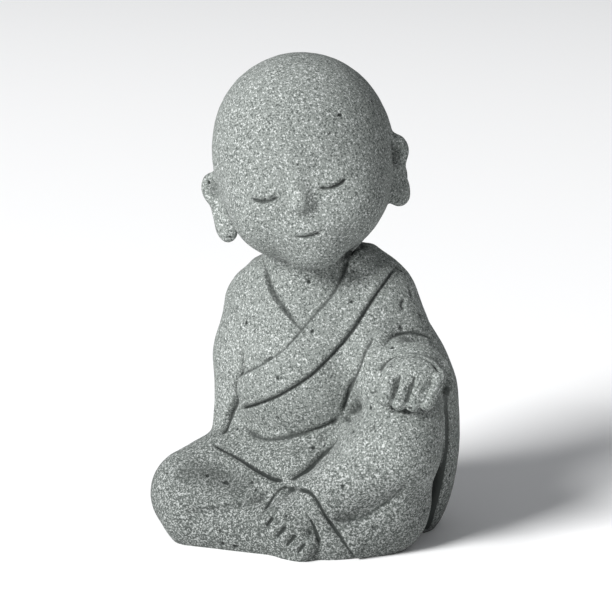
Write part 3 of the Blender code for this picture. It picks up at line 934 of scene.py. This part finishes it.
# %% Wires and the bench
class Wire:
    """A socket that can be used in sums."""

    def __init__(self, bench, socket):
        self.bench = bench
        self.socket = socket

    def math(self, operation, first, second=0.0):
        return self.bench.node("ShaderNodeMath", {"operation": operation}, {0: first, 1: second})

    def __add__(self, other):
        return self.math("ADD", self, other)

    def __radd__(self, other):
        return self.math("ADD", other, self)

    def __sub__(self, other):
        return self.math("SUBTRACT", self, other)

    def __rsub__(self, other):
        return self.math("SUBTRACT", other, self)

    def __mul__(self, other):
        return self.math("MULTIPLY", self, other)

    def __rmul__(self, other):
        return self.math("MULTIPLY", other, self)

    def above(self, low, high):
        """0 below low, 1 above high, and a smooth step between them."""
        return self.bench.node("ShaderNodeMapRange", {"interpolation_type": "SMOOTHSTEP"},
                               {"Value": self, "From Min": low, "From Max": high})


class Bench:
    """The nodes of one material."""

    def __init__(self, name):
        self.material = bpy.data.materials.new(name)
        self.material.use_nodes = True
        self.tree = self.material.node_tree
        self.shader = self.tree.nodes["Principled BSDF"]

    def node(self, kind, settings=(), sockets=(), output=0):
        node = self.tree.nodes.new(kind)
        for name, value in dict(settings).items():
            setattr(node, name, value)
        for name, value in dict(sockets).items():
            self.put(node.inputs[name], value)
        return Wire(self, node.outputs[output])

    def put(self, socket, value):
        if isinstance(value, Wire):
            self.tree.links.new(value.socket, socket)
        else:
            socket.default_value = value

    def blend(self, factor, first, second):
        """Two colours mixed: Mix's colour sockets are its seventh and eighth."""
        return self.node("ShaderNodeMix", {"data_type": "RGBA"}, {0: factor, 6: first, 7: second}, output=2)

    def noise(self, where, size, detail=2.0):
        return self.node("ShaderNodeTexNoise", {}, {"Vector": where, "Scale": 1 / size, "Detail": detail})

    def cells(self, where, size, output):
        return self.node("ShaderNodeTexVoronoi", {}, {"Vector": where, "Scale": 1 / size}, output)


print("bench ready")

# %% [markdown]
# ## The stone
#
# Seen close, the stone is sand set in cement: grains a little under a millimetre across, many of
# them nearly white, some nearly black, in a cool grey-green matrix. Two noises are summed for the
# grains: pale where the sum is high, dark where it is low, matrix between. Broad noise makes the
# casting slightly uneven in tone, the attributes add painted shade in creases and pits, and the stone darkens near the
# ground, partly as painted shade, partly as dirt.

# %% Stone colours and sizes
COARSE_SAND = 0.00075      # metres from one coarse grain to the next but one
FINE_SAND = 0.00042
MATRIX = (0.184, 0.200, 0.189, 1)
PALE_GRAIN = (0.50, 0.52, 0.51, 1)
DARK_GRAIN = (0.040, 0.046, 0.043, 1)
# The next colour paints shade in creases, carved lines and pits, and darkens the stone near the ground, partly as
# painted shade, partly as dirt.
SHADE_AND_DIRT_COLOUR = (0.022, 0.026, 0.024, 1)
SHADE_AND_DIRT_HEIGHT = 0.050      # the stone is darker from the ground up to here


def grey_stone():
    bench = Bench("grey cast stone")
    where = bench.node("ShaderNodeTexCoord", output="Object")
    coarse = bench.noise(where, COARSE_SAND, 1.0)
    fine = bench.noise(where, FINE_SAND, 2.0)
    broad = bench.noise(where, 0.030, 2.0)
    height = bench.node("ShaderNodeSeparateXYZ", {}, {"Vector": where}, output=2)
    low_down = 1 - height.above(0.0, SHADE_AND_DIRT_HEIGHT)
    sand = 0.4 * coarse + 0.6 * fine + 0.08 * (broad - 0.5)
    sand = sand + 0.5 * low_down * (sand - 0.5)
    pale = sand.above(0.55, 0.63) * 0.9
    dark = 1 - (sand - 0.02 * low_down).above(0.40, 0.48)
    hollow = bench.node("ShaderNodeAttribute", {"attribute_name": "hollow"}, output="Fac")
    pit = bench.node("ShaderNodeAttribute", {"attribute_name": "pit"}, output="Fac")
    colour = bench.blend(pale, MATRIX, PALE_GRAIN)
    colour = bench.blend(dark * 0.85, colour, DARK_GRAIN)
    # Painted shade in creases, carved lines and pits, and a darkening near the ground that is partly painted shade,
    # partly dirt.
    shade_and_dirt = hollow.above(0.05, 0.7) * (0.45 + 0.6 * fine) + pit.above(0.1, 0.8) * 0.85 + low_down * (0.15 + 0.5 * broad)
    colour = bench.blend(shade_and_dirt, colour, SHADE_AND_DIRT_COLOUR)
    bench.put(bench.shader.inputs["Base Color"], colour)
    bench.put(bench.shader.inputs["Roughness"], 0.80 + 0.15 * fine)
    bump = bench.node("ShaderNodeBump", {}, {"Height": sand, "Strength": 0.7, "Distance": 0.00018})
    bench.put(bench.shader.inputs["Normal"], bump)
    bench.shader.inputs["Specular IOR Level"].default_value = 0.3
    return bench.material


stone = grey_stone()
print("stone nodes", len(stone.node_tree.nodes))

# %% [markdown]
# ## The finished piece
#
# The mesh becomes one object at the origin. It stands for the solid that it was made from, rides on
# the figure's only body and takes the grey stone material.

# %% Placing the monk
monk_mesh.name = "carved_monk"
monk_mesh.materials.clear()
monk_mesh.materials.append(stone)
monk_mesh.shade_smooth()
monk = bpy.data.objects.new("carved_monk", monk_mesh)
bpy.context.scene.collection.objects.link(monk)
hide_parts("seated_monk")
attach(monk, "root")
print("monk in mm", [round(1000 * side, 1) for side in monk.dimensions])

# %% [markdown]
# ## Floor and light
#
# The picture is a plain studio one on white. One large soft lamp stands to the left of the camera
# and a little above, which leaves the right side of the figure dark, and a weak one fills that
# side. The pale world lights the rest evenly.

# %% Floor
floor_shape = bmesh.new()
bmesh.ops.create_grid(floor_shape, x_segments=1, y_segments=1, size=12.0)
floor_mesh = bpy.data.meshes.new("floor")
floor_shape.to_mesh(floor_mesh)
floor_shape.free()
paper = Bench("white paper")
paper.shader.inputs["Base Color"].default_value = (0.96, 0.96, 0.96, 1)
paper.shader.inputs["Roughness"].default_value = 0.9
floor_mesh.materials.append(paper.material)
floor = bpy.data.objects.new("floor", floor_mesh)
bpy.context.scene.collection.objects.link(floor)
print("floor laid")


# %% Lamps
def soft_lamp(name, azimuth, elevation, distance, size, power):
    """A square lamp that looks at the figure from this direction, in degrees and metres."""
    a, e = math.radians(azimuth), math.radians(elevation)
    towards = Vector((math.sin(a) * math.cos(e), -math.cos(a) * math.cos(e), math.sin(e)))
    light = bpy.data.lights.new(name, "AREA")
    light.energy = power
    light.size = size
    lamp = bpy.data.objects.new(name, light)
    lamp.location = Vector((0, 0, SPAN / 2)) + distance * towards
    lamp.rotation_euler = towards.to_track_quat("Z", "Y").to_euler()
    bpy.context.scene.collection.objects.link(lamp)
    return lamp


soft_lamp("key lamp", -32, 31, 8.0, 2.9, 1110.0)
soft_lamp("fill lamp", 60, 15, 2.0, 0.8, 1.5)
world = bpy.data.worlds.new("pale studio")
world.use_nodes = True
world.node_tree.nodes["Background"].inputs["Color"].default_value = (0.95, 0.97, 1.0, 1)
world.node_tree.nodes["Background"].inputs["Strength"].default_value = 0.27
bpy.context.scene.world = world
bpy.context.scene.view_settings.view_transform = "Standard"
print("two lamps and a pale world")
